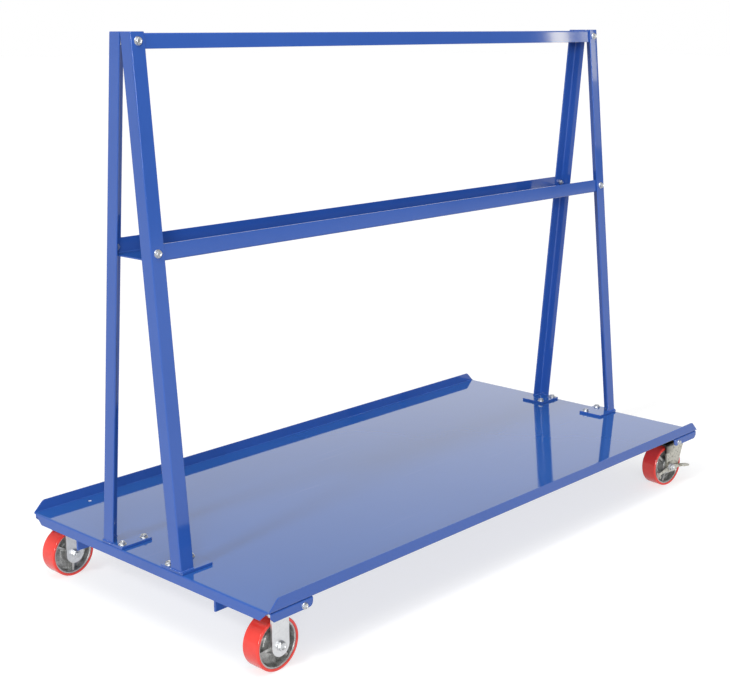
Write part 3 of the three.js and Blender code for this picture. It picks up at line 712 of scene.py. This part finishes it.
def studio_floor():
    """A pale floor that is white where the studio lights it, and keeps the cart's soft shadow."""
    mesh = bpy.data.meshes.new("studio_floor")
    reach = 60.0
    mesh.from_pydata([(-reach, -reach, 0), (reach, -reach, 0), (reach, reach, 0), (-reach, reach, 0)],
                     [], [(0, 1, 2, 3)])
    floor = bpy.data.objects.new("studio_floor", mesh)
    bpy.context.scene.collection.objects.link(floor)
    material = bpy.data.materials.new("studio_floor")
    material.use_nodes = True
    tree = material.node_tree
    shader = tree.nodes["Principled BSDF"]
    shader.inputs["Base Color"].default_value = (0.4, 0.4, 0.4, 1.0)
    shader.inputs["Roughness"].default_value = 1.0
    shader.inputs["Specular IOR Level"].default_value = 0.0
    shader.inputs["Emission Color"].default_value = (1.0, 1.0, 1.0, 1.0)
    camera = Wire.node(tree, "ShaderNodeLightPath", output="Is Camera Ray")
    glow = ROOM_GLOW + 0.22 * seen_directly(tree) + 0.12 * camera
    tree.links.new(glow.socket, shader.inputs["Emission Strength"])
    mesh.materials.append(material)


def seen_directly(tree):
    """1 for what the camera, a reflection or clear glass shows, 0 for light that lands on a surface."""
    rays = [Wire.node(tree, "ShaderNodeLightPath", output=name)
            for name in ("Is Camera Ray", "Is Glossy Ray", "Is Transmission Ray")]
    return rays[0].math("MAXIMUM", rays[0].math("MAXIMUM", rays[0], rays[1]), rays[2])


def studio_light():
    """A white room, brightest low behind the cart, lit from round the camera and in strips from the right."""
    world = bpy.data.worlds.new("studio")
    bpy.context.scene.world = world
    world.use_nodes = True
    tree = world.node_tree
    sky = tree.nodes["Background"]
    sky.inputs["Color"].default_value = (1.0, 1.0, 1.0, 1.0)
    look = Wire.node(tree, "ShaderNodeTexCoord", output="Generated")
    backdrop = look.to("ShaderNodeVectorMath", {"operation": "DOT_PRODUCT"},
                       {1: (0.35, 0.94, 0.0)}, output="Value")
    height = look.to("ShaderNodeSeparateXYZ", output="Z")
    shown = 0.3 + band(backdrop, 0.1, 0.75) * (0.7 - 0.48 * band(height, 0.18, 0.55))
    camera = Wire.node(tree, "ShaderNodeLightPath", output="Is Camera Ray")
    shown = camera.math("MAXIMUM", camera, shown)
    seen = seen_directly(tree)
    strength = ROOM_GLOW * (1 - seen) + seen * shown
    tree.links.new(strength.socket, sky.inputs["Strength"])
    for name, spot, spread, power in (
            ("front", (-6.6, -7.4, 2.1), 20, 1.72),
            ("left", (-9.0, -0.8, 8.0), 8, 1.06),
            ("overhead", (0.0, 0.0, 9.0), 60, 0.75)):
        sun = bpy.data.lights.new(name, "SUN")
        sun.energy, sun.angle = power, math.radians(spread)
        hung(sun, spot, (0.0, 0.0, 0.0))
    for name, spot, aim, size, power, colour in (
            ("top", (-1.6, -1.4, 3.7), (-0.5, -0.35, 0.2), (1.8, 1.8), 44.0, (1.0, 1.0, 1.0)),
            ("strip", (2.475, -1.265, 1.61), (0.7, -0.04, 1.39), (0.08, 0.16), 0.42, (1.0, 0.92, 0.62)),
            ("edge", (2.52, -1.13, 1.6), (0.89, -0.05, 1.3), (0.08, 0.45), 0.42, (1.0, 0.94, 0.66)),
            ("low edge", (2.52, -1.13, 1.22), (0.89, -0.06, 1.18), (0.08, 0.31), 0.07, (1.0, 0.94, 0.66))):
        lamp = bpy.data.lights.new(name, "AREA")
        lamp.shape, lamp.energy, lamp.color = "RECTANGLE", power, colour
        lamp.size, lamp.size_y = size
        hung(lamp, spot, aim)


def hung(lamp, spot, aim):
    """Puts a lamp at a spot, turned to what it lights."""
    holder = bpy.data.objects.new(lamp.name, lamp)
    bpy.context.scene.collection.objects.link(holder)
    holder.visible_camera = False
    holder.location = spot
    holder.rotation_euler = (Vector(aim) - Vector(spot)).to_track_quat("-Z", "Y").to_euler()


# The photograph's frame, its focal length and the point its optical axis meets, in pixels
PHOTO_WIDTH, PHOTO_HEIGHT = 730, 700
FOCAL_LENGTH = 1325.1
OPTIC_X, OPTIC_Y = 383.2, 297.2


def studio_camera():
    """The photograph's view, with the lens and shift that its lines give."""
    camera = bpy.data.cameras.new("camera")
    camera.sensor_fit, camera.sensor_width = "HORIZONTAL", 36.0
    camera.lens = FOCAL_LENGTH / PHOTO_WIDTH * camera.sensor_width
    camera.shift_x = (PHOTO_WIDTH / 2 - OPTIC_X) / PHOTO_WIDTH
    camera.shift_y = (OPTIC_Y - PHOTO_HEIGHT / 2) / PHOTO_WIDTH
    holder = bpy.data.objects.new("camera", camera)
    bpy.context.scene.collection.objects.link(holder)
    holder.matrix_world = (
        Matrix.Translation((-2.7185, -2.4642, 1.4126))
        @ Matrix.Rotation(math.radians(-47.257), 4, "Z")
        @ Matrix.Rotation(math.radians(90 - 11.425), 4, "X")
        @ Matrix.Rotation(math.radians(-0.159), 4, "Z"))
    bpy.context.scene.camera = holder


studio_floor()
studio_light()
studio_camera()
bpy.context.scene.view_settings.view_transform = "Standard"

bpy.context.view_layer.update()
